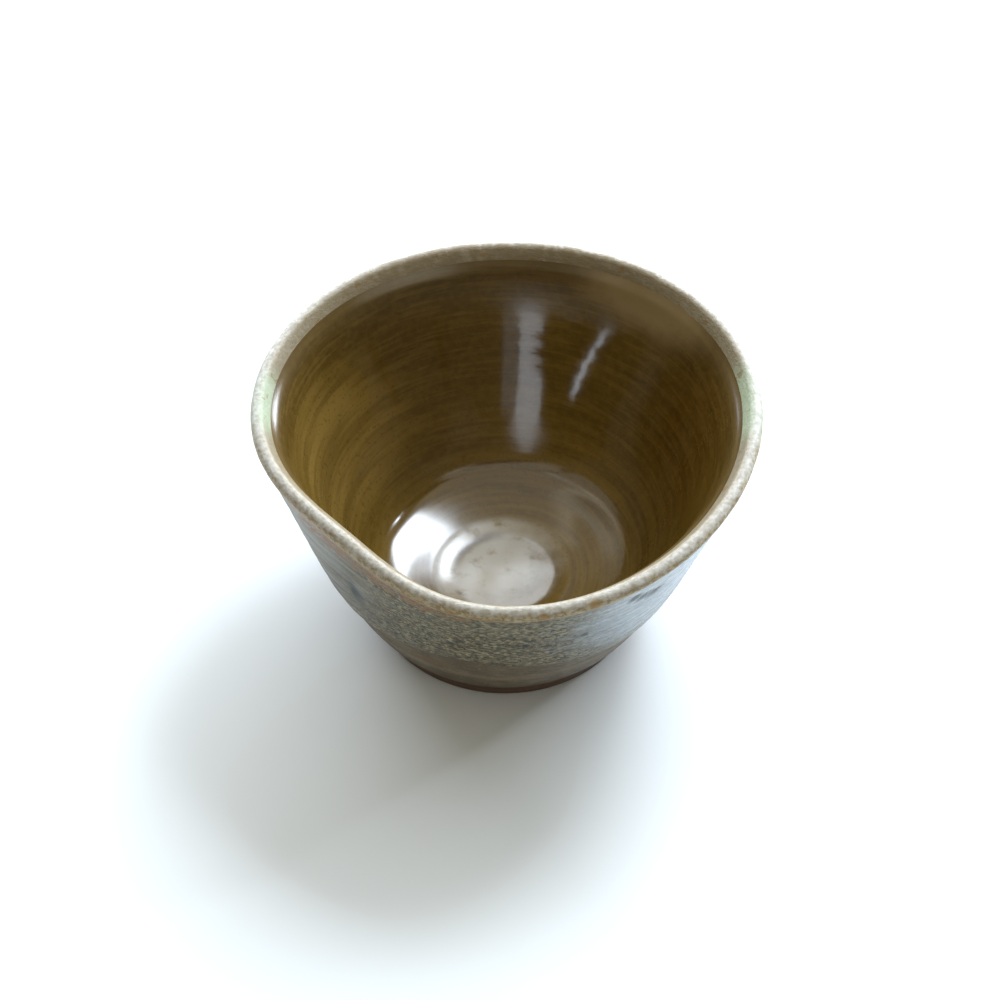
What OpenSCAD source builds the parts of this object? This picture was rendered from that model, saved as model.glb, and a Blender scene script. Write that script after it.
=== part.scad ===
// A small sake cup thrown in stoneware, pinched out of round on one side.
// The clay is one piece. Three glaze coats are fused to it, and each coat shares
// its inner face with the clay. All lengths are in millimetres.

/* [Cup] */
// Outside width of the lip before the cup is pushed out of round
rim_d = 70; // [65:0.5:75]
// Height from the table to the top of the lip
cup_h = 37.5; // [35:0.5:42]

/* [Foot] */
// Outside width of the foot ring
foot_d = 37.6; // [34:0.2:40]
// Width of the foot ring's wall
foot_w = 4; // [3:0.1:5]
// Depth of the hollow inside the foot ring
hollow_h = 2; // [1.4:0.1:2.6]
// How much higher the foot ring's outside is than its hollow
heel_h = 0.6; // [0.4:0.1:0.9]
// How far the wall stands out past the foot ring
heel_step = 0.6; // [0.3:0.1:1]
// Rounding of the foot ring's lower edges
foot_round = 0.6; // [0.3:0.1:1]
// How much narrower the foot ring is at the table than at the top
foot_taper = 0.5; // [0:0.1:1]

/* [Outside of the wall] */
// Lean of the wall over the foot, in degrees from upright
low_lean = 37.5; // [30:0.5:42]
// How far the wall holds that lean
low_reach = 9.6; // [7:0.2:14]
// Lean of the wall under the lip, in degrees from upright
lip_lean = 38; // [25:1:45]
// How far the wall holds that lean
lip_reach = 6; // [3:0.2:9]
// How deep the lower wall is trimmed back under the glaze line
trim_step = 0.1; // [0.05:0.05:0.4]

/* [Inside of the wall] */
// Thickness of the clay floor
floor_t = 2.5; // [2.2:0.1:3.5]
// Thickness of the clay wall near the floor
low_wall_t = 3.4; // [2.6:0.1:4]
// Thickness of the clay at the lip, which is a full round
lip_t = 1.8; // [1.5:0.1:2.4]
// Height on the outside at which the inside wall turns into the floor's sweep
sweep_z = 8; // [7:0.5:12]
// How near the sweep comes to a sharp corner, from an even bow at 0 to the corner at 1
sweep_share = 0.9; // [0.4:0.05:0.95]

/* [Floor] */
// Slope of the dished floor round its mark, in degrees from level
dish_slope = 8; // [0:1:12]
// Width of the round mark that the thrower's finger left
mark_d = 20; // [16:0.5:22]
// Depth of that mark
mark_h = 0.4; // [0.2:0.05:0.6]
// Rise of the little spiral in the middle of the mark
spiral_h = 0.1; // [0.05:0.05:0.35]

/* [Out of round] */
// Depth of the pinched side, at the lip
pinch = 3.8; // [0:0.2:5]
// Rise of the three soft corners, at the lip
corner = 0.55; // [0:0.05:1]
// Rise of the two long sides, at the lip
oval = 0.45; // [0:0.05:1]
// Drift of the lip away from the foot's middle
drift = 0.65; // [0:0.05:1]
// Height up to which the cup stays round
round_z = 5; // [4:0.2:7]

/* [Glaze] */
// Thickness of the olive-brown glaze on the inside wall
inner_glaze_t = 0.35; // [0.25:0.05:0.5]
// Extra thickness where that glaze gathers on the floor
floor_pool_t = 0.25; // [0.1:0.05:0.4]
// Extra thickness of the two green drops that hang under the lip
drop_t = 0.4; // [0.2:0.05:0.6]
// Thickness of the grey-green glaze on the outside
outer_glaze_t = 0.4; // [0.3:0.05:0.6]
// Thickness of the pale glaze over the lip
lip_glaze_t = 0.2; // [0.15:0.05:0.25]
// Mean height of the glaze line on the outside
glaze_line_z = 13.6; // [12:0.2:15]
// Rise and fall of the glaze line
glaze_line_wave = 2.4; // [0:0.2:3]
// How far the pale band runs down the outside from the lip's rounding
band_drop = 0.5; // [0.4:0.1:1]
// Rise and fall of the pale band's lower edge
band_wave = 0.2; // [0:0.05:0.3]
// How much lower that edge lies at the pinched side
band_sag = 1; // [0:0.1:1.6]

/* [Hidden] */
$fn = 96;

// Steps round the cup
steps = 72;
// How far the wall's clay and the foot's clay reach into each other
weld = 0.5;
// Directions of the pinch, the soft corners, the long sides and the drift, in degrees
pinch_az = 227;
pinch_spread = 28;
corner_az = 28;
oval_az = 62;
drift_az = 278;
// How steeply the out-of-round shape grows towards the lip
reach_power = 2.2;
// Direction of the glaze line's high point and how much of its wave comes three to a turn
line_az = 256;
line_triple_share = 0.75;
// How much of the pale band's wave comes two to a turn, the rest coming five to a turn
band_double_share = 0.6;
// Directions of the drops under the lip and how far they spread, in degrees
drop_az = [178, 8];
drop_spread = [9, 16];

// Places of the rows of points, as shares of the stretch that they follow
bare_shares = [0, 0.33, 0.66, 0.94];
coat_shares = [0, 0.03, 0.09, 0.2, 0.4, 0.6, 0.8];
lip_shares = [0, 0.14, 0.3, 0.48, 0.66, 0.84];
wall_shares = [0, 0.06, 0.14, 0.3, 0.48, 0.66, 0.84];
sweep_shares = [0, 0.2, 0.36, 0.46, 0.56, 0.7, 0.84];
// Thickness of the outside glaze along its rows, as shares of outer_glaze_t
roll_shares = [0.25, 0.6, 0.85, 1, 1, 1, 0.95];
// Outline of the floor's mark: shares of its radius, of its depth and of its spiral
mark_r_shares = [1, 0.93, 0.78, 0.4];
mark_h_shares = [0, 0.3, 1, 1];
spiral_h_shares = [0, 0, 0, 0.8];

// Row numbers at which each stretch of the outline begins
row_line = len(bare_shares);
row_band = row_line + len(coat_shares);
row_lip = row_band + 1;
row_wall = row_lip + len(lip_shares);
row_sweep = row_wall + len(wall_shares);
row_mark = row_sweep + len(sweep_shares);
row_last = row_mark + len(mark_r_shares) - 1;
// Row under the lip's inner shoulder, where the pale glaze meets the inside glaze
row_shoulder = row_wall + 1;
// Where the drops under the lip are thickest, between two rows
row_drop = row_shoulder + 1.5;

heel_z = hollow_h + heel_h;
floor_z = hollow_h + floor_t;
mark_r = mark_d / 2;
pole_z = floor_z - mark_h + spiral_h;

function mix(a, b, share) = a + (b - a) * share;
function unit(v) = v / norm(v);
function right_of(v) = [v.y, -v.x];
function leaning(angle) = [sin(angle), cos(angle)];

// The lip is a round of clay about this centre
lip_centre = [rim_d, 2 * cup_h] / 2 - [1, 1] * (lip_glaze_t + lip_t / 2);
function lip(share) =
    let (turn = 180 * share - lip_lean)
    lip_centre + lip_t / 2 * [cos(turn), sin(turn)];

// Control points of the wall's outside, from the foot to the lip
heel = [foot_d / 2 + heel_step + trim_step, heel_z];
outside = [
    heel,
    heel + low_reach * leaning(low_lean),
    lip(0) - lip_reach * leaning(lip_lean),
    lip(0),
];
lip_z = lip(0).y;
function bump(angle, spread) =
    let (d = (angle % 360 + 540) % 360 - 180)
    exp(-pow(d / spread, 2));

function cubic(p, t) =
    pow(1 - t, 3) * p[0] + 3 * pow(1 - t, 2) * t * p[1]
    + 3 * (1 - t) * t * t * p[2] + pow(t, 3) * p[3];
function cubic_slope(p, t) =
    pow(1 - t, 2) * (p[1] - p[0]) + 2 * (1 - t) * t * (p[2] - p[1])
    + t * t * (p[3] - p[2]);

// Share of the outside curve at which it reaches height z
function share_at(z, low = 0, high = 1, turns = 24) =
    let (middle = (low + high) / 2)
    turns == 0 ? middle
    : cubic(outside, middle).y < z ? share_at(z, middle, high, turns - 1)
    : share_at(z, low, middle, turns - 1);

// The wall's inside lies under its outside by the thickness of the clay
function inside(t) =
    cubic(outside, t)
    - mix(low_wall_t, lip_t, t) * unit(right_of(cubic_slope(outside, t)));

// The floor's sweep leaves the wall along the wall's slope and ends along the dish's. Its
// knee is where the two slopes would meet.
sweep_t = share_at(sweep_z);
sweep_top = inside(sweep_t);
mark_edge = [mark_r, floor_z];
wall_slope = cubic_slope(outside, sweep_t);
dish = [cos(dish_slope), sin(dish_slope)];
knee = sweep_top - wall_slope * cross(sweep_top - mark_edge, dish) / cross(wall_slope, dish);
sweep = [
    sweep_top,
    mix(sweep_top, knee, sweep_share),
    mix(mark_edge, knee, sweep_share),
    mark_edge,
];

// Heights of the glaze line and of the pale band's lower edge at azimuth az
function line_z(az) =
    glaze_line_z
    + glaze_line_wave * mix(cos(az - line_az), cos(3 * (az - line_az)), line_triple_share);
function band_z(az) =
    lip_z - band_drop + band_wave * mix(sin(az * 5), sin(az * 2), band_double_share)
    - band_sag * bump(az - pinch_az, pinch_spread);

// Outline of the clay at azimuth az: up the outside, over the lip, down to the floor
function outline(az) =
    let (line = share_at(line_z(az)), band = share_at(band_z(az)))
    [
        for (s = bare_shares)
            let (t = line * s)
            cubic(outside, t) - trim_step * unit(right_of(cubic_slope(outside, t))),
        for (s = coat_shares) cubic(outside, mix(line, band, s)),
        cubic(outside, band),
        for (s = lip_shares) lip(s),
        for (s = wall_shares) inside(mix(1, sweep_t, s)),
        for (s = sweep_shares) cubic(sweep, s),
        for (i = [0:len(mark_r_shares) - 1])
            [
                mark_r * mark_r_shares[i],
                floor_z - mark_h * mark_h_shares[i] + spiral_h * spiral_h_shares[i],
            ],
        [0, pole_z],
    ];

// How far the lip lies out of round at azimuth az, and how much of that reaches height z
function out_of_round(az) =
    drift * cos(az - drift_az) + oval * cos(2 * (az - oval_az))
    + corner * cos(3 * (az - corner_az)) - pinch * bump(az - pinch_az, pinch_spread);
function reach(z) = pow(min(1, max(0, (z - round_z) / (lip_z - round_z))), reach_power);

azimuths = [for (k = [0:steps - 1]) 360 * k / steps];
outlines = [for (az = azimuths) outline(az)];

function place(p, z, az) =
    let (r = p.x + reach(z) * out_of_round(az))
    [r * cos(az), r * sin(az), p.y];
function clay_point(row, k) =
    let (p = outlines[k][row])
    place(p, p.y, azimuths[k]);
function glaze_point(row, k, thickness) =
    let (
        p = outlines[k][row],
        across = right_of(outlines[k][row + 1] - outlines[k][row - 1])
    )
    place(p + thickness * unit(across), p.y, azimuths[k]);

function outer_thickness(row) =
    row == row_band ? lip_glaze_t : outer_glaze_t * roll_shares[row - row_line];
function drops(row, az) =
    exp(-pow(row - row_drop, 2))
    * (bump(az - drop_az[0], drop_spread[0]) + bump(az - drop_az[1], drop_spread[1]));
function inner_thickness(row, az) =
    let (gathered = min(1, max(0, (row - row_sweep) / (row_mark - row_sweep))))
    row == row_shoulder ? lip_glaze_t
    : inner_glaze_t + floor_pool_t * gathered + drop_t * drops(row, az);

// Triangles of a sheet of rows of points, whose first point is number start
function sheet(start, rows, inward = false) = [
    for (row = [0:rows - 2], k = [0:steps - 1])
        let (
            a = start + row * steps + k,
            b = start + row * steps + (k + 1) % steps,
            c = b + steps,
            d = a + steps
        )
        each inward ? [[a, b, c], [a, c, d]] : [[a, c, b], [a, d, c]],
];
// Triangles between two rows of points whose first points are numbers low and high
function strip(low, high) = [
    for (k = [0:steps - 1])
        let (next = (k + 1) % steps)
        each [[low + k, high + next, low + next], [low + k, high + k, high + next]],
];
// Triangles from a row of points to one point in the middle
function fan(start, pole, inward = false) = [
    for (k = [0:steps - 1])
        let (next = (k + 1) % steps)
        inward ? [start + k, start + next, pole] : [start + k, pole, start + next],
];

function clay_rows(first, last) =
    [for (row = [first:last], k = [0:steps - 1]) clay_point(row, k)];

// The cup's origin is under the middle of its outline, seen from above
rim_points = [
    for (row = [row_band:row_lip + 2], k = [0:steps - 1])
        glaze_point(row, k, lip_glaze_t),
];
rim_xs = [for (p = rim_points) p.x];
rim_ys = [for (p = rim_points) p.y];
middle = [(max(rim_xs) + min(rim_xs)) / 2, (max(rim_ys) + min(rim_ys)) / 2];

module centred() {
    translate([-middle.x, -middle.y, 0]) children();
}

// A coat from row first to row last, with an edge at both ends
module ring_coat(first, last, glaze_rows) {
    rows = last - first + 1;
    top = rows * steps;
    polyhedron(
        points = concat(clay_rows(first, last), glaze_rows),
        faces = concat(
            sheet(0, rows, inward = true),
            sheet(top, rows),
            strip(0, top),
            strip(2 * top - steps, top - steps)
        )
    );
}

// Clay of the foot ring and of the hollow's roof, turned as one
module foot_clay() {
    low_r = foot_d / 2 - foot_taper / 2;
    in_r = foot_d / 2 - foot_w;
    rotate_extrude()
        polygon([
            [0, hollow_h],
            [in_r - foot_round, hollow_h],
            [in_r, hollow_h - foot_round],
            [in_r, foot_round],
            for (turn = [180:30:270])
                [in_r + foot_round * (1 + cos(turn)), foot_round * (1 + sin(turn))],
            for (turn = [270:30:360])
                [low_r - foot_round * (1 - cos(turn)), foot_round * (1 + sin(turn))],
            [foot_d / 2, heel_z + weld],
            [0, heel_z + weld],
        ]);
}

// Clay of the wall, the lip and the floor
module wall_clay() {
    rows = row_last + 1;
    count = rows * steps;
    polyhedron(
        points = concat(clay_rows(0, row_last), [[0, 0, pole_z], [0, 0, outside[0].y]]),
        faces = concat(
            sheet(0, rows),
            fan((rows - 1) * steps, count),
            fan(0, count + 1, inward = true)
        )
    );
}

module clay_body() {
    color("#7d6450")
        centred() {
            union() {
                wall_clay();
                foot_clay();
            }
        }
}

module outer_glaze() {
    glaze = [
        for (row = [row_line:row_band], k = [0:steps - 1])
            glaze_point(row, k, outer_thickness(row)),
    ];
    color("#7c7a64") centred() ring_coat(row_line, row_band, glaze);
}

module lip_glaze() {
    glaze = [
        for (row = [row_band:row_shoulder], k = [0:steps - 1])
            glaze_point(row, k, lip_glaze_t),
    ];
    color("#cbbfa3") centred() ring_coat(row_band, row_shoulder, glaze);
}

module inner_glaze() {
    rows = row_last - row_shoulder + 1;
    count = rows * steps;
    glaze = [
        for (row = [row_shoulder:row_last], k = [0:steps - 1])
            glaze_point(row, k, inner_thickness(row, azimuths[k])),
    ];
    poles = [
        [0, 0, pole_z],
        [0, 0, pole_z + inner_glaze_t + floor_pool_t],
    ];
    color("#5c4717")
        centred()
            polyhedron(
                points = concat(clay_rows(row_shoulder, row_last), glaze, poles),
                faces = concat(
                    sheet(0, rows, inward = true),
                    fan(count - steps, 2 * count, inward = true),
                    sheet(count, rows),
                    fan(2 * count - steps, 2 * count + 1),
                    strip(0, count)
                )
            );
}

clay_body();
inner_glaze();
outer_glaze();
lip_glaze();
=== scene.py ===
# A sake cup thrown in brown stoneware, with a streaked ash glaze outside, a glossy
# olive-brown glaze inside and a pale lip. Lengths are in metres. Azimuths are in degrees
# round the wheel's axis from +X, so that the front of the cup is at 270.
from math import cos, pi, radians, sin, tan

import bpy
import numpy as np
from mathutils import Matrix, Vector, kdtree, noise
from mathutils.geometry import interpolate_bezier


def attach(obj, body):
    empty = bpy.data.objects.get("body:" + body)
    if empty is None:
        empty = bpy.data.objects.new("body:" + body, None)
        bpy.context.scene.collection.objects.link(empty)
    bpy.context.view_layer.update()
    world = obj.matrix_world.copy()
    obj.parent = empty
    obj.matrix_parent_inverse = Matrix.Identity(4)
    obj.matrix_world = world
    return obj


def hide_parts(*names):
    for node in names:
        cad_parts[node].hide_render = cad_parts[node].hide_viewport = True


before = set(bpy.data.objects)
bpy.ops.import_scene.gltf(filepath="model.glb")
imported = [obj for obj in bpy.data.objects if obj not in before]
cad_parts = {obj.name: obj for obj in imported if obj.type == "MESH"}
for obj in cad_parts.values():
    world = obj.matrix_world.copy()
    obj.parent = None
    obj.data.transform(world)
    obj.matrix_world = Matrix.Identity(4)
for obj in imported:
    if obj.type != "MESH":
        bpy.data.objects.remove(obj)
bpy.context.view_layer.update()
mm = 0.001

# Clay cup
# One piece of brown stoneware, thrown on the wheel and pinched in on one side while it
# was wet. Its foot ring and its lower wall were trimmed when it was leather hard, and
# are left without glaze, so the kiln has toasted them brown.
rim_d, cup_h = 70 * mm, 37.5 * mm
foot_d, foot_w, hollow_h = 37.6 * mm, 4 * mm, 2 * mm
heel_z, heel_step = hollow_h + 0.6 * mm, 0.6 * mm
foot_round, foot_taper = 0.6 * mm, 0.5 * mm
low_lean, low_reach = radians(37.5), 9.6 * mm
lip_lean, lip_reach = radians(38), 6 * mm
floor_z, low_wall_t, lip_t = hollow_h + 2.5 * mm, 3.4 * mm, 1.8 * mm
sweep_z, dish_lean, sweep_share = 8 * mm, radians(8), 0.9
mark_r, mark_h, spiral_h = 10 * mm, 0.4 * mm, 0.1 * mm
lip_glaze_t, trim_step = 0.2 * mm, 0.1 * mm
glaze_line_z, glaze_line_wave, line_azimuth = 13.6 * mm, 2.4 * mm, 256
band_drop, band_wave, band_sag = 0.5 * mm, 0.2 * mm, 1 * mm
pinch, pinch_azimuth, pinch_spread = 3.8 * mm, 227, 28
corner, corner_azimuth = 0.55 * mm, 28
oval, oval_azimuth = 0.45 * mm, 62
drift, drift_azimuth = 0.65 * mm, 278
round_z, reach_power = 5 * mm, 2.2
wheel_steps, crease, merge_gap = 480, radians(40), 0.002 * mm


def leaning(angle):
    """A unit vector that leans out from straight up by an angle."""
    return np.array([sin(angle), cos(angle)])


def arc(middle, radius, start, end, count):
    """Points of a round stretch of outline, from angle start to angle end."""
    turns = np.linspace(start, end, count)
    return middle + radius * np.stack([np.cos(turns), np.sin(turns)], 1)


def bezier(*points, count=500):
    """Points of the curve from the first point to the last, led by the two between them."""
    ends = [Vector((*point, 0)) for point in points]
    return np.array([point[:2] for point in interpolate_bezier(*ends, count)])


def across(stretch):
    """Unit vectors square to a stretch of outline, on its right."""
    along = np.gradient(stretch, axis=0)
    along /= np.linalg.norm(along, axis=1, keepdims=True)
    return np.stack([along[:, 1], -along[:, 0]], 1)


def length_of(stretch):
    """The length along a stretch of outline, from its start to each of its points."""
    return np.r_[0, np.cumsum(np.linalg.norm(np.diff(stretch, axis=0), axis=1))]


def even(stretch, gap):
    """The same stretch with its points about one gap apart."""
    length = length_of(stretch)
    places = np.linspace(0, length[-1], max(2, round(length[-1] / gap) + 1))
    return np.stack([np.interp(places, length, side) for side in stretch.T], 1)


def smooth(value, low, high):
    """0 below low, 1 above high and an even swing between them."""
    share = np.clip((value - low) / (high - low), 0, 1)
    return share * share * (3 - 2 * share)


# Outline of the clay's skin: the wall's outside, the round lip, the wall's inside, the
# sweep of the floor and the round mark that the thrower's finger left in its middle
lip_middle = np.array([rim_d / 2, cup_h]) - (lip_glaze_t + lip_t / 2)
lip_out = lip_middle + lip_t / 2 * np.array([cos(lip_lean), -sin(lip_lean)])
lip_z = lip_out[1]
heel = np.array([foot_d / 2 + heel_step + trim_step, heel_z])
low_handle = heel + low_reach * leaning(low_lean)
wall = bezier(heel, low_handle, lip_out - lip_reach * leaning(lip_lean), lip_out)
lip = arc(lip_middle, lip_t / 2, -lip_lean, pi - lip_lean, 80)
wall_t = np.linspace(low_wall_t, lip_t, len(wall))
inner_wall = wall - wall_t[:, None] * across(wall)
sweep_row = np.searchsorted(wall[:, 1], sweep_z)
sweep_top = inner_wall[sweep_row]
mark_edge = np.array([mark_r, floor_z])
wall_way = inner_wall[sweep_row + 1] - inner_wall[sweep_row - 1]
floor_way = -leaning(pi / 2 - dish_lean)
knee_down, _ = np.linalg.solve(np.stack([wall_way, floor_way], 1), sweep_top - mark_edge)
knee = sweep_top - knee_down * wall_way
sweep_handles = [end + sweep_share * (knee - end) for end in (sweep_top, mark_edge)]
sweep = bezier(sweep_top, *sweep_handles, mark_edge)
from_edge = np.linspace(0, 1, 100)
mark_dip = mark_h * smooth(from_edge, 0, 0.3)
mark_rise = spiral_h * smooth(from_edge, 0.5, 1)
mark = np.stack([mark_r * (1 - from_edge), floor_z - mark_dip + mark_rise], 1)
skin = np.concatenate([wall, lip[1:], inner_wall[-2:sweep_row:-1], sweep, mark[1:]])
skin_across = across(skin)
skin_across[-1] = 0, 1
skin_places = length_of(skin) - length_of(wall)[-1]

# Places along the skin, as lengths from the outer edge of the lip and over it
heel_place, mark_place = skin_places[0], skin_places[-1] - mark_r
line_place = np.interp(glaze_line_z, wall[:, 1], skin_places[: len(wall)])
band_place = np.interp(lip_z - band_drop, wall[:, 1], skin_places[: len(wall)])
shoulder_place = pi * lip_t / 2 + 1.4 * mm
knee_place = mark_place - length_of(sweep)[-1] / 2


def on_skin(places, lift=0):
    """Points of the outline at these places, lifted off the clay."""
    lift = np.broadcast_to(lift, places.shape)
    sides = [
        np.interp(places, skin_places, skin[:, side])
        + lift * np.interp(places, skin_places, skin_across[:, side])
        for side in (0, 1)
    ]
    return np.stack(sides, 1)


def spaced(start, end, gap):
    """Even places from start to end, about one gap apart."""
    return np.linspace(start, end, round((end - start) / gap) + 1)


def thrown(name, outline, closed=False):
    """A piece turned on the wheel: its outline is drawn point by point and swept round Z."""
    bpy.ops.object.select_all(action="DESELECT")
    r, z = outline[0]
    bpy.ops.mesh.primitive_plane_add(size=mm, location=(r, 0, z))
    piece = bpy.context.object
    piece.name = piece.data.name = name
    bpy.ops.object.transform_apply(location=True)
    bpy.ops.object.mode_set(mode="EDIT")
    bpy.ops.mesh.merge(type="CENTER")
    for r_step, z_step in np.diff(outline, axis=0):
        move = {"value": (r_step, 0, z_step)}
        bpy.ops.mesh.extrude_region_move(TRANSFORM_OT_translate=move)
    if closed:
        bpy.ops.mesh.select_all(action="SELECT")
        bpy.ops.mesh.remove_doubles(threshold=merge_gap)
    bpy.ops.object.mode_set(mode="OBJECT")
    wheel = piece.modifiers.new("wheel", "SCREW")
    wheel.steps = wheel.render_steps = wheel_steps
    wheel.use_merge_vertices = True
    wheel.merge_threshold = merge_gap
    bpy.ops.object.modifier_apply(modifier=wheel.name)
    bpy.ops.object.mode_set(mode="EDIT")
    bpy.ops.mesh.select_all(action="SELECT")
    bpy.ops.mesh.remove_doubles(threshold=merge_gap)
    bpy.ops.mesh.normals_make_consistent(inside=False)
    bpy.ops.object.mode_set(mode="OBJECT")
    bpy.ops.object.shade_smooth_by_angle(angle=crease)
    return piece


def turning(azimuth, turns=1):
    return np.cos(np.radians(azimuth) * turns)


def bump(turn, spread):
    """1 at no turn, falling away over spread, both in degrees."""
    return np.exp(-((((turn + 180) % 360 - 180) / spread) ** 2))


def line_z(azimuth):
    """Height of the glaze line, which wanders round the cup."""
    turn = azimuth - line_azimuth
    return glaze_line_z + glaze_line_wave * (0.75 * turning(turn, 3) + 0.25 * turning(turn))


def band_z(azimuth):
    """Height of the lower edge of the pale band round the lip."""
    turn = np.radians(azimuth)
    wave = band_wave * (0.6 * np.sin(2 * turn) + 0.4 * np.sin(5 * turn))
    return lip_z - band_drop + wave - band_sag * bump(azimuth - pinch_azimuth, pinch_spread)


def out_of_round(azimuth):
    """How far the lip lies outside a true round."""
    return (
        drift * turning(azimuth - drift_azimuth)
        + oval * turning(azimuth - oval_azimuth, 2)
        + corner * turning(azimuth - corner_azimuth, 3)
        - pinch * bump(azimuth - pinch_azimuth, pinch_spread)
    )


def in_frame(r, azimuth, z):
    """Points in the cup's frame, with the rim pushed out of round and set over the origin."""
    reach = np.clip((z - round_z) / (lip_z - round_z), 0, 1) ** reach_power
    r = r + reach * out_of_round(azimuth)
    turn = np.radians(azimuth)
    return np.stack([r * np.cos(turn) - middle_x, r * np.sin(turn) - middle_y, z], -1)


all_round = np.arange(0, 360, 0.5)
middle_x = middle_y = 0
rim_xs, rim_ys, _ = in_frame(rim_d / 2, all_round, np.full_like(all_round, lip_z)).T
middle_x, middle_y = (rim_xs.max() + rim_xs.min()) / 2, (rim_ys.max() + rim_ys.min()) / 2

skin_tree = kdtree.KDTree(len(skin))
for row, (r, z) in enumerate(skin):
    skin_tree.insert((r, z, 0), row)
skin_tree.balance()

# What the potter's hands and tools left on the skin: throwing rings, trimming marks, soft
# lumps, a worn lip, two drops under it, a swell in the sweep of the floor, and a few slits
# and pits where the glaze crawled. Each drop has its azimuth and spread, and each slit or
# pit has its azimuth, height, half width, half height and depth.
outer_ring_gap, outer_ring_h = 3.1 * mm, 0.035 * mm
inner_ring_gap, inner_ring_h = 2.6 * mm, 0.003 * mm
trim_gap, trim_h = 1.1 * mm, 0.03 * mm
broad_lump, small_lump = 9 * mm, 3.5 * mm
outer_broad_h, outer_small_h, inner_lump_h = 0.1 * mm, 0.03 * mm, 0.02 * mm
lip_wear, worn_reach = 0.12 * mm, 2.4 * mm
drop_h, drops = 0.25 * mm, ((178, 9), (8, 16))
swell_azimuth, swell_spread, swell_h, swell_reach = 28, 42, 1.5 * mm, 4.5 * mm
crawl_marks = [
    (301, 31.9 * mm, 0.9 * mm, 0.7 * mm, 0.3 * mm),
    (304.5, 30.3 * mm, 1.2 * mm, 0.8 * mm, 0.35 * mm),
    (308.5, 29.4 * mm, 1.4 * mm, 0.7 * mm, 0.25 * mm),
    (290.2, 24.6 * mm, 0.5 * mm, 0.5 * mm, 0.15 * mm),
    (275.1, 24.2 * mm, 0.5 * mm, 0.45 * mm, 0.15 * mm),
    (225.5, 24 * mm, 0.9 * mm, 1.8 * mm, 0.15 * mm),
    (256, 23 * mm, 0.5 * mm, 0.4 * mm, 0.12 * mm),
]


def lumps(r, azimuth, z, size, seed):
    """Soft lumps of one size, from -1 to 1."""
    turn = np.radians(azimuth)
    places = np.stack([r * np.cos(turn), r * np.sin(turn), z], 1) / size + seed
    return np.array([noise.noise(Vector(place)) for place in places])


def ringed(along, azimuth, gap):
    """Rings of a spiral that climbs one gap a turn, from -1 to 1."""
    return np.cos(2 * pi * (along / gap + azimuth / 360))


def hand_marks(along, r, azimuth, z):
    """How far each point of the skin rises off the turned outline."""
    outside = smooth(along, heel_place, heel_place + mm) * (1 - smooth(along, -3 * mm, -mm))
    glazed = outside * smooth(along, line_place, line_place + 2 * mm)
    bare_clay = outside * (1 - smooth(along, line_place - 0.5 * mm, line_place))
    inside = smooth(along, shoulder_place, shoulder_place + 4 * mm)
    on_floor = smooth(along, mark_place - 6 * mm, mark_place - mm)
    in_mark = smooth(along, mark_place, mark_place + 3 * mm)
    lip_share = np.exp(-(((along - pi * lip_t / 4) / worn_reach) ** 2))
    knee_share = np.exp(-(((along - knee_place) / swell_reach) ** 2))
    drop_share = smooth(along, shoulder_place, shoulder_place + 1.5 * mm)
    drop_share = drop_share * (1 - smooth(along, shoulder_place + 4 * mm, shoulder_place + 8 * mm))
    broad = lumps(r, azimuth, z, broad_lump, 3)
    small = lumps(r, azimuth, z, small_lump, 11)
    rise = outside * outer_broad_h * broad + glazed * outer_small_h * small
    rise += glazed * outer_ring_h * ringed(along, azimuth, outer_ring_gap)
    rise += bare_clay * trim_h * ringed(along, azimuth, trim_gap)
    rise += inside * (1 - on_floor) * inner_ring_h * (1 + broad) * ringed(along, azimuth, inner_ring_gap)
    rise += inner_lump_h * (inside * broad + on_floor * small) + in_mark * outer_small_h * small
    rise -= lip_share * lip_wear * (1 + 0.5 * small)
    rise += swell_h * knee_share * bump(azimuth - swell_azimuth, swell_spread)
    for drop_azimuth, drop_spread in drops:
        rise += drop_h * drop_share * bump(azimuth - drop_azimuth, drop_spread)
    for mark_azimuth, mark_z, half_wide, half_tall, deep in crawl_marks:
        aside = np.radians(azimuth - mark_azimuth) * r / half_wide
        rise -= (along < 0) * deep * np.exp(-(aside**2) - ((z - mark_z) / half_tall) ** 2)
    return rise * (z > heel_z)


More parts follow.
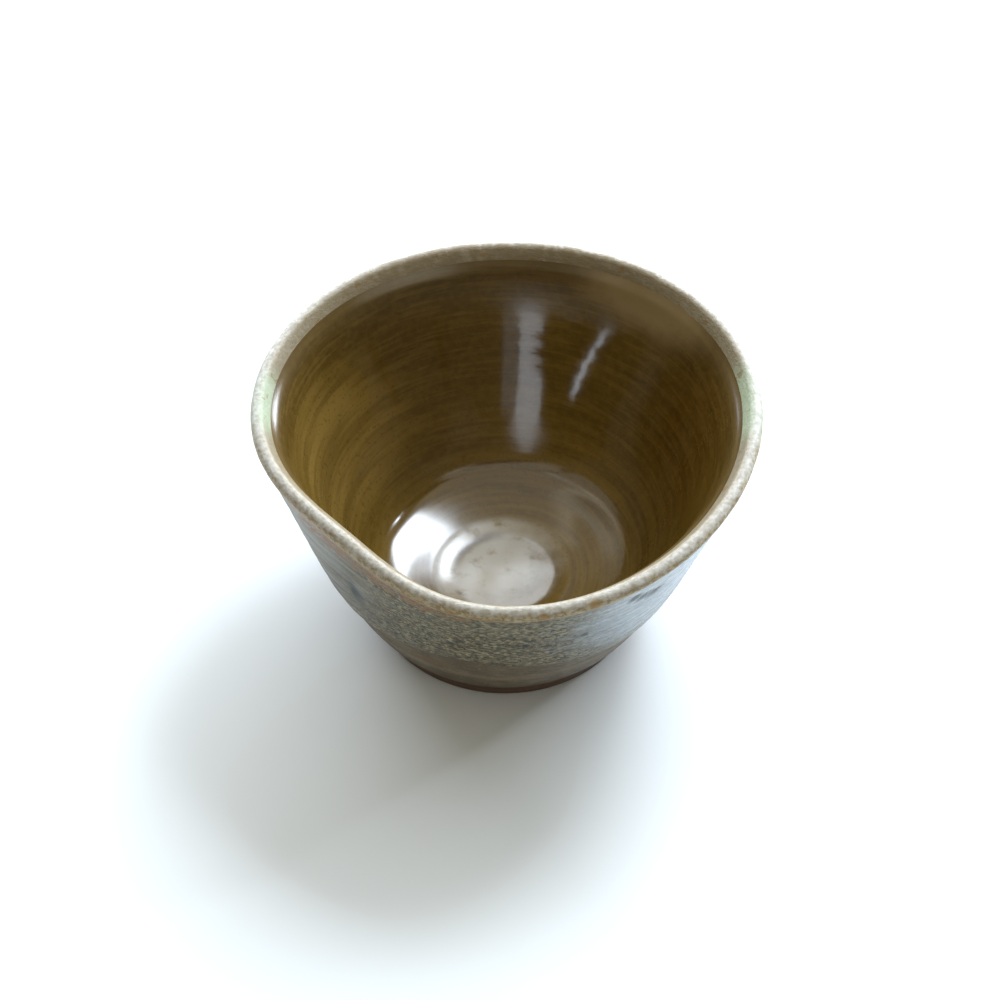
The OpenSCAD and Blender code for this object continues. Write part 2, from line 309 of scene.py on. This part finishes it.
def hand_shaped(piece):
    """Moves a piece's points from the true round to the shape of the finished cup.

    The glaze line and the pale band slide up and down the outside of the wall, the hand
    marks are pressed in, and the rim is pushed out of round. The piece keeps three
    measures of each point: its place along the skin, its height above the glaze line and
    its depth under the pale band.
    """
    places = np.empty(3 * len(piece.data.vertices))
    piece.data.vertices.foreach_get("co", places)
    x, y, z = places.reshape(-1, 3).T
    r, azimuth = np.hypot(x, y), np.degrees(np.arctan2(y, x)) % 360
    rows = np.array([skin_tree.find(point)[1] for point in zip(r, z, np.zeros_like(r))])
    on_wall = (rows < len(wall)) & (z > heel_z)
    flat = [heel_z, glaze_line_z, lip_z - band_drop, lip_z]
    wavy = [np.full_like(z, heel_z), line_z(azimuth), band_z(azimuth), np.full_like(z, lip_z)]
    slid = z.copy()
    for low in range(3):
        share = (z - flat[low]) / (flat[low + 1] - flat[low])
        here = on_wall & (share >= 0) & (share <= 1)
        slid[here] = (wavy[low] + share * (wavy[low + 1] - wavy[low]))[here]
    r += np.interp(slid, wall[:, 1], wall[:, 0]) - np.interp(z, wall[:, 1], wall[:, 0])
    z = slid
    measures = {
        "along": skin_places[rows],
        "above_line": z - line_z(azimuth),
        "under_band": band_z(azimuth) - z,
    }
    for label, values in measures.items():
        layer = piece.data.attributes.new(label, "FLOAT", "POINT")
        layer.data.foreach_set("value", values.astype(np.float32))
    rise = hand_marks(measures["along"], r, azimuth, z)
    r, z = r + rise * skin_across[rows, 0], z + rise * skin_across[rows, 1]
    piece.data.vertices.foreach_set("co", in_frame(r, azimuth, z).ravel())
    piece.data.update()
    bpy.context.view_layer.update()


foot_in, foot_out = foot_d / 2 - foot_w, foot_d / 2 - foot_taper / 2
roof = np.array([[0, hollow_h], [foot_in - foot_round, hollow_h]])
foot_side = np.array([[foot_out, foot_round], [foot_d / 2, heel_z]])
bare_places = spaced(heel_place, line_place, 0.35 * mm)
clay_outline = np.concatenate(
    [
        even(roof, 1.5 * mm),
        arc([foot_in - foot_round, hollow_h - foot_round], foot_round, pi / 2, 0, 6),
        arc([foot_in + foot_round, foot_round], foot_round, pi, 1.5 * pi, 8),
        arc([foot_out - foot_round, foot_round], foot_round, -pi / 2, 0, 8),
        even(foot_side, 0.4 * mm)[1:],
        on_skin(bare_places, -trim_step),
        on_skin(spaced(line_place, 0, 0.5 * mm)),
        on_skin(spaced(0, pi * lip_t / 2, 0.2 * mm)[1:]),
        on_skin(spaced(pi * lip_t / 2, skin_places[-1], 0.9 * mm)[1:]),
    ]
)
clay = thrown("clay_cup", clay_outline)
hand_shaped(clay)
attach(clay, "root")
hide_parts("clay_body")


def node(tree, kind, inputs=(), **settings):
    """Adds a shader node. An input is a number, a colour or another node's output."""
    made = tree.nodes.new("ShaderNode" + kind)
    for setting, value in settings.items():
        setattr(made, setting, value)
    for label, value in dict(inputs).items():
        if isinstance(value, bpy.types.NodeSocket):
            tree.links.new(value, made.inputs[label])
        else:
            made.inputs[label].default_value = value
    return made


def maths(tree, operation, *values):
    return node(tree, "Math", enumerate(values), operation=operation).outputs[0]


def swing(tree, value, low, high, start=0, end=1):
    """From start to end, in an even swing, as value goes from low to high."""
    inputs = {"Value": value, "From Min": low, "From Max": high, "To Min": start, "To Max": end}
    return node(tree, "MapRange", inputs, interpolation_type="SMOOTHSTEP").outputs[0]


def stripe(tree, value, middle, half):
    """1 where value is middle, and 0 from half a stripe's width away."""
    off = maths(tree, "ABSOLUTE", maths(tree, "SUBTRACT", value, middle))
    return swing(tree, off, 0, half, 1, 0)


def mixed(tree, share, under, over):
    """The colour under, covered by the colour over as far as share says."""
    under, over = [
        value if isinstance(value, bpy.types.NodeSocket) else (*value, 1)
        for value in (under, over)
    ]
    return node(tree, "Mix", {0: share, 6: under, 7: over}, data_type="RGBA").outputs[2]


def effect(name, inputs, output):
    """A shader node group with named inputs and one output, and its two end nodes."""
    group = bpy.data.node_groups.new(name, "ShaderNodeTree")
    for label, (kind, value) in inputs.items():
        socket = group.interface.new_socket(label, in_out="INPUT", socket_type="NodeSocket" + kind)
        socket.default_value = value
    group.interface.new_socket(output, in_out="OUTPUT", socket_type="NodeSocketFloat")
    given, result = group.nodes.new("NodeGroupInput"), group.nodes.new("NodeGroupOutput")
    return group, given.outputs, result.inputs


def in_steps(tree, place, size):
    """The place counted in steps of one size, so that a pattern comes out that large."""
    per_metre = maths(tree, "DIVIDE", 1, size)
    return node(tree, "VectorMath", {0: place, "Scale": per_metre}, operation="SCALE").outputs[0]


def cloudy(tree, place, detail, roughness=0.5):
    """Soft clouds about one step across, from 0 to 1."""
    inputs = {"Vector": place, "Scale": 1, "Detail": detail, "Roughness": roughness}
    return node(tree, "TexNoise", inputs).outputs["Fac"]


# Grain that lies round the cup, as throwing and trimming leave it: each fleck is long
# in the direction of the wheel's turn and low along the skin
grain_group, given, result = effect(
    "grain",
    {
        "Place": ("Vector", (0, 0, 0)),
        "Along": ("Float", 0),
        "Length": ("Float", 3 * mm),
        "Height": ("Float", 0.5 * mm),
        "Low": ("Float", 0.4),
        "High": ("Float", 0.6),
    },
    "Mask",
)
flat_place = node(grain_group, "VectorMath", {0: given["Place"], 1: (1, 1, 0)}, operation="MULTIPLY")
wide = in_steps(grain_group, flat_place.outputs[0], given["Length"])
tall = node(grain_group, "CombineXYZ", {2: maths(grain_group, "DIVIDE", given["Along"], given["Height"])})
fleck_place = node(grain_group, "VectorMath", {0: wide, 1: tall.outputs[0]}, operation="ADD")
fleck = cloudy(grain_group, fleck_place.outputs[0], 5, 0.6)
grain_group.links.new(swing(grain_group, fleck, given["Low"], given["High"]), result[0])

# Flecks and blotches with no direction, from iron and sand in the clay
blotch_group, given, result = effect(
    "blotches",
    {
        "Place": ("Vector", (0, 0, 0)),
        "Size": ("Float", 2 * mm),
        "Detail": ("Float", 4),
        "Low": ("Float", 0.4),
        "High": ("Float", 0.6),
    },
    "Mask",
)
blotch_place = in_steps(blotch_group, given["Place"], given["Size"])
blotch = cloudy(blotch_group, blotch_place, given["Detail"], 0.55)
blotch_group.links.new(swing(blotch_group, blotch, given["Low"], given["High"]), result[0])

# One patch of colour with a ragged edge, at its own spot on the cup
patch_group, given, result = effect(
    "patch",
    {
        "Place": ("Vector", (0, 0, 0)),
        "Spot": ("Vector", (0, 0, 0)),
        "Half Size": ("Vector", (5 * mm, 5 * mm, 5 * mm)),
        "Ragged": ("Float", 0.3),
        "Ragged Size": ("Float", 2 * mm),
    },
    "Mask",
)
away = node(patch_group, "VectorMath", {0: given["Place"], 1: given["Spot"]}, operation="SUBTRACT")
shares = node(patch_group, "VectorMath", {0: away.outputs[0], 1: given["Half Size"]}, operation="DIVIDE")
share = node(patch_group, "VectorMath", {0: shares.outputs[0]}, operation="LENGTH").outputs["Value"]
edge_place = in_steps(patch_group, given["Place"], given["Ragged Size"])
edge = maths(patch_group, "SUBTRACT", cloudy(patch_group, edge_place, 4), 0.5)
ragged_share = maths(patch_group, "MULTIPLY_ADD", edge, given["Ragged"], share)
patch_group.links.new(swing(patch_group, ragged_share, 0.35, 1, 1, 0), result[0])


def placed(tree, group, **inputs):
    """Places an effect in a material, with its own values."""
    made = node(tree, "Group", node_tree=group)
    for label, value in inputs.items():
        socket = made.inputs[label.replace("_", " ").title()]
        if isinstance(value, bpy.types.NodeSocket):
            tree.links.new(value, socket)
        else:
            socket.default_value = value
    return made.outputs[0]


def finish_of(name, roughness=0.5, ior=1.5):
    """A new material, with its node tree and shader and its piece's place and measures."""
    material = bpy.data.materials.new(name)
    material.use_nodes = True
    tree = material.node_tree
    shader = tree.nodes["Principled BSDF"]
    shader.inputs["Roughness"].default_value = roughness
    shader.inputs["IOR"].default_value = ior
    place = node(tree, "TexCoord").outputs["Object"]
    measures = {
        label: node(tree, "Attribute", attribute_name=label).outputs["Fac"]
        for label in ("along", "above_line", "under_band")
    }
    return material, tree, shader, place, measures


def lifted(tree, shader, *reliefs):
    """Feeds the shader's Normal with reliefs, each a height mask and its depth in metres."""
    normal = None
    for height, depth in reliefs:
        inputs = {"Height": height, "Distance": depth, "Strength": 1}
        if normal:
            inputs["Normal"] = normal
        normal = node(tree, "Bump", inputs).outputs[0]
    tree.links.new(normal, shader.inputs["Normal"])


def on_cup(azimuth, z, inner=False):
    """The point of the cup's skin at an azimuth and a height, in the cup's frame."""
    side = inner_wall if inner else wall
    return Vector(in_frame(np.interp(z, side[:, 1], side[:, 0]), azimuth, z))


def patch(tree, place, spot, half_size, ragged_size=2 * mm):
    """A patch at its spot. A half size is one length, or one for each axis."""
    if not isinstance(half_size, tuple):
        half_size = 3 * (half_size,)
    values = {"spot": spot, "half_size": half_size, "ragged_size": ragged_size}
    return placed(tree, patch_group, place=place, **values)


def together(tree, *masks):
    """A mask that is 1 only where all of these are."""
    mask = masks[0]
    for other in masks[1:]:
        mask = maths(tree, "MULTIPLY", mask, other)
    return mask


def covered(tree, colour, mask, strength, over):
    """The colour with another laid over it, at a strength from 0 to 1 where the mask is 1."""
    return mixed(tree, together(tree, mask, strength), colour, over)


bare, tree, shader, place, measure = finish_of("bare_stoneware", 0.62)
height = node(tree, "SeparateXYZ", {0: place}).outputs[2]
dark_clay, tan_clay = (0.125, 0.092, 0.05), (0.19, 0.15, 0.09)
clouds = placed(tree, blotch_group, place=place, size=6 * mm, low=0.35, high=0.65)
colour = mixed(tree, clouds, dark_clay, tan_clay)
grey_side = patch(tree, place, on_cup(315, 10 * mm), 17 * mm)
colour = covered(tree, colour, grey_side, 0.7, (0.27, 0.25, 0.22))
turned = placed(tree, grain_group, place=place, along=measure["along"], length=2.5 * mm, height=0.7 * mm)
colour = covered(tree, colour, turned, 0.55, (0.09, 0.062, 0.034))
pale_band = stripe(tree, height, 9.3 * mm, 1.6 * mm)
colour = covered(tree, colour, pale_band, 0.4, (0.27, 0.21, 0.14))
sand = placed(tree, blotch_group, place=place, size=0.35 * mm, detail=1, low=0.62, high=0.7)
colour = covered(tree, colour, sand, 0.5, (0.32, 0.27, 0.2))
flash = patch(tree, place, on_cup(244, 11.5 * mm), (5 * mm, 4 * mm, 1.5 * mm))
colour = covered(tree, colour, flash, 0.5, (0.2, 0.105, 0.03))
# Darker brown towards the bottom, below 4.5 mm
darker_low = swing(tree, height, 1.8 * mm, 4.5 * mm, 1, 0)
colour = covered(tree, colour, darker_low, 0.85, (0.12, 0.068, 0.045))
tree.links.new(colour, shader.inputs["Base Color"])
lifted(tree, shader, (turned, 0.05 * mm), (sand, 0.04 * mm))
clay.data.materials.append(bare)

# Outer glaze
# An ash glaze, poured over the outside and fused to the clay in the kiln. It ran down the
# wall in fine level streaks, stopped in a thick roll at an uneven line above the bare
# clay, and left a few pits and crawl marks.
outer_glaze_t = 0.4 * mm


def outer_thickness(places):
    share = (places - line_place) / (band_place - line_place)
    roll = np.interp(share, [0, 0.01, 0.03, 0.09, 0.2], [0.1, 0.35, 0.6, 0.85, 1])
    return roll * outer_glaze_t + (lip_glaze_t - outer_glaze_t) * smooth(share, 0.8, 1)


def coat(start, end, thickness, gap):
    """Closed outline of a glaze coat: down the clay's face and back along its own."""
    clay_side = on_skin(spaced(start, end, 3 * gap))
    places = spaced(start, end, gap)
    return np.concatenate([clay_side[::-1], on_skin(places, thickness(places)), clay_side[-1:]])


outer = thrown("outer_glaze_coat", coat(line_place, band_place, outer_thickness, 0.3 * mm), True)
hand_shaped(outer)
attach(outer, "root")
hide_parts("outer_glaze")

ash, tree, shader, place, measure = finish_of("ash_glaze")
along = measure["along"]
brown_ash, green_ash = (0.09, 0.066, 0.03), (0.135, 0.125, 0.072)
clouds = placed(tree, blotch_group, place=place, size=5 * mm, low=0.38, high=0.62)
colour = mixed(tree, clouds, brown_ash, green_ash)
# Bluish white on the right side: partly the glaze's own pale blue, partly a painted sheen
blue_sheen_side = patch(tree, place, on_cup(318, 29 * mm), 24 * mm)
colour = covered(tree, colour, blue_sheen_side, 0.85, (0.36, 0.45, 0.52))
dark_side = patch(tree, place, on_cup(221, 24 * mm), 10 * mm)
colour = covered(tree, colour, dark_side, 0.65, (0.05, 0.052, 0.04))
# A painted bluish-white sheen on the right of the wall
painted_sheen = patch(tree, place, on_cup(338, 31 * mm), 16 * mm)
colour = covered(tree, colour, painted_sheen, 0.75, (0.58, 0.68, 0.8))
# A painted whitish sheen on the left of the wall, near the rim
left_sheen = patch(tree, place, on_cup(213, 31 * mm), 8 * mm)
colour = covered(tree, colour, left_sheen, 0.7, (0.33, 0.33, 0.31))

# Streaks of the run glaze, each with its length, height, low and high end, strength and
# colour: pale and dark ones on the blue side, and a busy grain of dashes on the rest
lines = [
    (8 * mm, 0.8 * mm, 0.5, 0.6, 0.6, (0.62, 0.68, 0.75)),
    (5 * mm, 0.6 * mm, 0.56, 0.63, 0.65, (0.13, 0.17, 0.2)),
]
for length, tall, low, high, strength, line_colour in lines:
    line = placed(
        tree, grain_group, place=place, along=along, length=length, height=tall, low=low, high=high
    )
    colour = covered(tree, colour, together(tree, line, blue_sheen_side), strength, line_colour)
flows = placed(
    tree, grain_group, place=place, along=along, length=7 * mm, height=1.4 * mm, low=0.42, high=0.6
)
off_blue = maths(tree, "SUBTRACT", 1, blue_sheen_side)
colour = covered(tree, colour, together(tree, flows, off_blue), 0.4, (0.18, 0.15, 0.09))
low_brown = together(tree, swing(tree, measure["above_line"], 0.5 * mm, 6 * mm, 1, 0), off_blue)
colour = covered(tree, colour, low_brown, 0.4, (0.14, 0.1, 0.05))
left_side = patch(tree, place, on_cup(212, 28 * mm), 17 * mm)
streaks = placed(
    tree, grain_group, place=place, along=along, length=9 * mm, height=0.9 * mm, low=0.45, high=0.58
)
colour = covered(tree, colour, together(tree, streaks, left_side), 0.5, (0.34, 0.33, 0.29))
front_side = patch(tree, place, on_cup(262, 23 * mm), 30 * mm)
busy = together(
    tree,
    swing(tree, blue_sheen_side, 0.1, 0.8, 1, 0.25),
    swing(tree, left_side, 0, 0.9, 1, 0.2),
    swing(tree, front_side, 0, 0.6, 0.45, 1),
)
dashes = [
    (1.2 * mm, 0.7 * mm, 0.53, 0.6, 0.6, (0.07, 0.1, 0.09)),
    (1 * mm, 0.55 * mm, 0.53, 0.59, 0.6, (0.17, 0.09, 0.03)),
    (0.8 * mm, 0.5 * mm, 0.49, 0.56, 0.75, (0.4, 0.345, 0.2)),
    (0.7 * mm, 0.45 * mm, 0.51, 0.56, 0.9, (0.012, 0.012, 0.008)),
]
for length, tall, low, high, strength, dash_colour in dashes:
    dash = placed(
        tree, grain_group, place=place, along=along, length=length, height=tall, low=low, high=high
    )
    dark_dash = together(tree, dash, busy)
    colour = covered(tree, colour, dark_dash, strength, dash_colour)

# Rust from the iron under the pale band, and the pits
rusty_side = patch(tree, place, on_cup(234, 34 * mm), (20 * mm, 20 * mm, 7 * mm))
rust_blots = placed(
    tree, grain_group, place=place, along=along, length=1.5 * mm, height=0.7 * mm, low=0.45, high=0.54
)
rust_fall = swing(tree, measure["under_band"], 0.8 * mm, 3.6 * mm, 1, 0)
rust = together(tree, rust_blots, rust_fall, rusty_side)
colour = covered(tree, colour, swing(tree, rust, 0.03, 0.35), 0.85, (0.26, 0.11, 0.018))
for mark_azimuth, mark_z, half_wide, half_tall, deep in crawl_marks:
    half_size = (2 * half_wide, 2 * half_wide, 2.4 * half_tall)
    pit = patch(tree, place, on_cup(mark_azimuth, mark_z), half_size, 0.7 * mm)
    colour = covered(tree, colour, pit, 0.85, (0.025, 0.035, 0.042))
line_edge = together(tree, swing(tree, measure["above_line"], 0, 1.1 * mm, 1, 0), off_blue)
colour = covered(tree, colour, line_edge, 0.7, (0.045, 0.035, 0.022))
tree.links.new(colour, shader.inputs["Base Color"])
tree.links.new(swing(tree, blue_sheen_side, 0, 0.8, 0.42, 0.26), shader.inputs["Roughness"])
lifted(tree, shader, (flows, 0.04 * mm), (dark_dash, -0.05 * mm))
outer.data.materials.append(ash)

# Lip glaze
# The two glazes meet over the rounded lip and run thin there, so that the pale clay
# shows through them. On the outside the thin glaze ends in a rusty line of iron.
def lip_thickness(places):
    return np.full_like(places, lip_glaze_t)


lip_coat = thrown("lip_glaze_coat", coat(band_place, shoulder_place, lip_thickness, 0.12 * mm), True)
hand_shaped(lip_coat)
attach(lip_coat, "root")
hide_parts("lip_glaze")

pale, tree, shader, place, measure = finish_of("pale_lip_glaze", 0.35, 1.33)
along = measure["along"]
grains = placed(
    tree, grain_group, place=place, along=along, length=0.6 * mm, height=0.35 * mm, low=0.42, high=0.6
)
pale_tan, dark_tan, inner_tan = (0.43, 0.345, 0.2), (0.24, 0.175, 0.09), (0.24, 0.18, 0.085)
colour = mixed(tree, grains, pale_tan, dark_tan)
colour = mixed(tree, swing(tree, along, 1.8 * mm, 3.2 * mm), colour, inner_tan)
mint_drops = [
    patch(tree, place, on_cup(drop_azimuth, 37 * mm), half_size)
    for drop_azimuth, half_size in ((176, 8 * mm), (4, 10 * mm))
]
on_top = swing(tree, along, 0.6 * mm, 1.4 * mm)
mint = together(tree, maths(tree, "MAXIMUM", *mint_drops), on_top)
colour = covered(tree, colour, mint, 0.85, (0.42, 0.52, 0.33))

# The white crest, where the glaze is thinnest, with its ragged lower edge. Its white is partly the pale
# glaze and partly a painted highlight.
crest_blots = placed(tree, blotch_group, place=place, size=1.2 * mm, detail=3, low=0.3, high=0.7)
crest_edge = maths(tree, "MULTIPLY_ADD", crest_blots, -0.5 * mm, 1.3 * mm)
crest_low = swing(tree, maths(tree, "SUBTRACT", along, crest_edge), -0.25 * mm, 0.45 * mm)
crest_and_highlight = together(tree, crest_low, swing(tree, along, 1.7 * mm, 2.9 * mm, 1, 0.25))
mottle = placed(tree, blotch_group, place=place, size=0.7 * mm, low=0.35, high=0.65)
# The crest's colour: pale glaze with a painted highlight
crest_highlight_colour = mixed(tree, mottle, (0.4, 0.37, 0.32), (0.6, 0.58, 0.54))
colour = covered(tree, colour, crest_and_highlight, 0.85, crest_highlight_colour)
brown_back = patch(tree, place, on_cup(90, lip_z), 34 * mm)
brown_blots = placed(tree, blotch_group, place=place, size=1.6 * mm, low=0.25, high=0.55)
colour = covered(tree, colour, together(tree, brown_back, brown_blots), 0.8, (0.2, 0.15, 0.08))

# Rust along the band's edge on the left, and spots of iron
rust_blots = placed(
    tree, grain_group, place=place, along=along, length=1.5 * mm, height=0.7 * mm, low=0.45, high=0.54
)
rust_rise = swing(tree, measure["under_band"], -1.9 * mm, -0.3 * mm)
outer_face = swing(tree, along, 1.2 * mm, 2 * mm, 1, 0)
rusty_side = patch(tree, place, on_cup(234, 35 * mm), (26 * mm, 26 * mm, 12 * mm))
rust = together(tree, rust_rise, outer_face, rust_blots, rusty_side)
colour = covered(tree, colour, swing(tree, rust, 0.03, 0.35), 0.85, (0.25, 0.115, 0.022))
rust_spots = placed(tree, blotch_group, place=place, size=1.4 * mm, detail=2, low=0.62, high=0.68)
off_crest = maths(tree, "SUBTRACT", 1, crest_and_highlight)
colour = covered(tree, colour, together(tree, rust_spots, off_crest), 0.75, (0.22, 0.12, 0.035))
for spot_azimuth, spot_z in ((289, 36.6 * mm), (278, 36.2 * mm), (264, 35.4 * mm)):
    iron = patch(tree, place, on_cup(spot_azimuth, spot_z), 1.1 * mm)
    colour = covered(tree, colour, iron, 0.75, (0.3, 0.17, 0.045))
tree.links.new(colour, shader.inputs["Base Color"])
lifted(tree, shader, (grains, -0.02 * mm))
lip_coat.data.materials.append(pale)

# Inner glaze
# A glossy olive-brown glaze, poured in and out again, so that it is thicker on the floor
# and hangs in two green drops under the lip. The throwing rings show through it, with
# painted shade and painted light in dark and light bands along them.
inner_glaze_t, floor_pool_t = 0.35 * mm, 0.25 * mm


def inner_thickness(places):
    below_lip = smooth(places, shoulder_place, shoulder_place + 2 * mm)
    wall_glaze = lip_glaze_t + (inner_glaze_t - lip_glaze_t) * below_lip
    return wall_glaze + floor_pool_t * smooth(places, 0.5 * mark_place, mark_place)


clay_side = on_skin(spaced(shoulder_place, skin_places[-1], 1.2 * mm))
face_places = spaced(shoulder_place, skin_places[-1], 0.4 * mm)
face = on_skin(face_places, inner_thickness(face_places))
inner = thrown("inner_glaze_coat", np.concatenate([clay_side[::-1], face]))
hand_shaped(inner)
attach(inner, "root")
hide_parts("inner_glaze")

olive, tree, shader, place, measure = finish_of("olive_brown_glaze", ior=1.8)
along = measure["along"]
height = node(tree, "SeparateXYZ", {0: place}).outputs[2]
low_olive, high_olive = (0.15, 0.088, 0.013), (0.088, 0.048, 0.006)
colour = mixed(tree, swing(tree, height, 8 * mm, 24 * mm), low_olive, high_olive)
golden_reach = 22 * mm, 22 * mm, 14 * mm
golden_side = patch(tree, place, on_cup(165, 21 * mm, True), golden_reach, 6 * mm)
colour = covered(tree, colour, golden_side, 0.65, (0.36, 0.225, 0.055))
red_side = patch(tree, place, on_cup(12, 24 * mm, True), 15 * mm, 6 * mm)
colour = covered(tree, colour, red_side, 0.6, (0.15, 0.07, 0.009))
# Dark bands along the throwing rings: painted shade in their grooves
shaded_rings = placed(
    tree, grain_group, place=place, along=along, length=30 * mm, height=1.9 * mm, low=0.4, high=0.6
)
colour = covered(tree, colour, shaded_rings, 0.5, (0.065, 0.034, 0.004))
# Lighter bands along finer rings: painted light
lit_fine_rings = placed(
    tree, grain_group, place=place, along=along, length=9 * mm, height=0.7 * mm, low=0.45, high=0.62
)
colour = covered(tree, colour, lit_fine_rings, 0.3, (0.22, 0.14, 0.035))
mottle = placed(tree, blotch_group, place=place, size=1 * mm, low=0.4, high=0.62)
colour = covered(tree, colour, mottle, 0.18, (0.22, 0.14, 0.03))
specks = placed(tree, blotch_group, place=place, size=0.5 * mm, detail=1, low=0.6, high=0.7)
colour = covered(tree, colour, specks, 0.35, (0.05, 0.027, 0.004))
thin_glaze = swing(tree, along, shoulder_place, shoulder_place + 4 * mm, 1, 0)
colour = covered(tree, colour, thin_glaze, 0.5, (0.17, 0.115, 0.045))
tan_back = patch(tree, place, on_cup(50, 35 * mm, True), (14 * mm, 14 * mm, 6 * mm))
colour = covered(tree, colour, tan_back, 0.8, (0.34, 0.24, 0.11))

# The finger mark in the floor is milky, with a brown line at its back
on_mark = swing(tree, along, mark_place - mm, mark_place + mm)
milky_clouds = placed(tree, blotch_group, place=place, size=2.6 * mm, low=0.2, high=0.5)
milky_side = patch(tree, place, (-middle_x - 3 * mm, 3 * mm - middle_y, floor_z), 13 * mm)
milky = together(tree, on_mark, milky_clouds, milky_side)
colour = covered(tree, colour, milky, 0.8, (0.48, 0.44, 0.37))
mark_line = stripe(tree, along, mark_place + 2.8 * mm, 1.3 * mm)
mark_back = patch(tree, place, (-middle_x - 5 * mm, 6 * mm - middle_y, floor_z), 7 * mm)
colour = covered(tree, colour, together(tree, mark_line, mark_back), 0.8, (0.09, 0.05, 0.012))
tree.links.new(colour, shader.inputs["Base Color"])

# The glaze is glossiest half way up the wall, and duller near the rim and on the floor
low_down = swing(tree, along, mark_place - 19 * mm, mark_place - 14 * mm)
near_rim = swing(tree, along, shoulder_place + 4 * mm, shoulder_place + 11 * mm, 1.7, 0)
dull = maths(tree, "ADD", maths(tree, "ADD", near_rim, low_down), milky)
tree.links.new(swing(tree, dull, 0, 2, 0.075, 0.24), shader.inputs["Roughness"])
lifted(tree, shader, (shaded_rings, 0.002 * mm))
inner.data.materials.append(olive)

# Table and studio
# The cup stands on a plain pale sheet, in soft light from a window behind it on the right.
bpy.ops.object.select_all(action="DESELECT")
bpy.ops.mesh.primitive_plane_add(size=3, location=(0, 0, 0))
table = bpy.context.object
table.name = "table"
paper = bpy.data.materials.new("pale_paper")
paper.use_nodes = True
shader = paper.node_tree.nodes["Principled BSDF"]
shader.inputs["Base Color"].default_value = (0.84, 0.865, 0.88, 1)
shader.inputs["Roughness"].default_value = 0.9
shader.inputs["Specular IOR Level"].default_value = 0.1
table.data.materials.append(paper)

world = bpy.data.worlds.new("room")
bpy.context.scene.world = world
world.use_nodes = True
sky = world.node_tree.nodes["Background"].inputs
sky["Color"].default_value = (1, 0.85, 0.75, 1)
sky["Strength"].default_value = 0.03
studio_reach = 1.3


def softbox(name, azimuth, height, wide, tall, brightness, colour):
    """A soft light that faces the cup. Its place and its size are angles seen from there."""
    turn, rise = radians(azimuth), radians(height)
    way = Vector((cos(rise) * cos(turn), cos(rise) * sin(turn), sin(rise)))
    bpy.ops.object.light_add(type="AREA", location=studio_reach * way)
    light = bpy.context.object
    light.name = name
    light.data.shape = "RECTANGLE"
    light.data.size, light.data.size_y = [
        2 * studio_reach * tan(radians(angle / 2)) for angle in (wide, tall)
    ]
    light.data.energy = brightness * light.data.size * light.data.size_y * pi
    light.data.color = colour
    light.rotation_euler = way.to_track_quat("Z", "Y").to_euler()


daylight, room_light = (0.81, 0.9, 1), (0.98, 0.95, 0.8)
softbox("window", 57, 51, 20, 18, 23, daylight)
softbox("window_side", 84, 51, 13, 10, 5, daylight)
softbox("window_gap", 19.5, 36, 2.8, 7, 50, daylight)
softbox("low_window", 58, 18, 50, 18, 16, daylight)
softbox("back_window", 110, 20, 44, 20, 12, daylight)
softbox("ceiling", 90, 90, 70, 60, 0.65, room_light)
softbox("back_wall", 125, 51, 40, 18, 0.5, room_light)
softbox("left_wall", 184, 45, 40, 30, 0.55, room_light)
softbox("front_wall", 315, 28, 40, 12, 0.9, room_light)
softbox("front_ceiling", 270, 48, 80, 22, 0.7, room_light)

camera_place = Vector((-0.0009, -0.3170, 0.3660))
camera_target = Vector((-0.0009, 0.00101, 0.01988))
bpy.ops.object.camera_add(location=camera_place)
camera = bpy.context.object
camera.data.lens = 122.36
camera.data.sensor_width = 36
camera.data.clip_end = 20
camera.rotation_euler = (camera_target - camera_place).to_track_quat("-Z", "Y").to_euler()
bpy.context.scene.camera = camera
bpy.context.scene.view_settings.view_transform = "Standard"
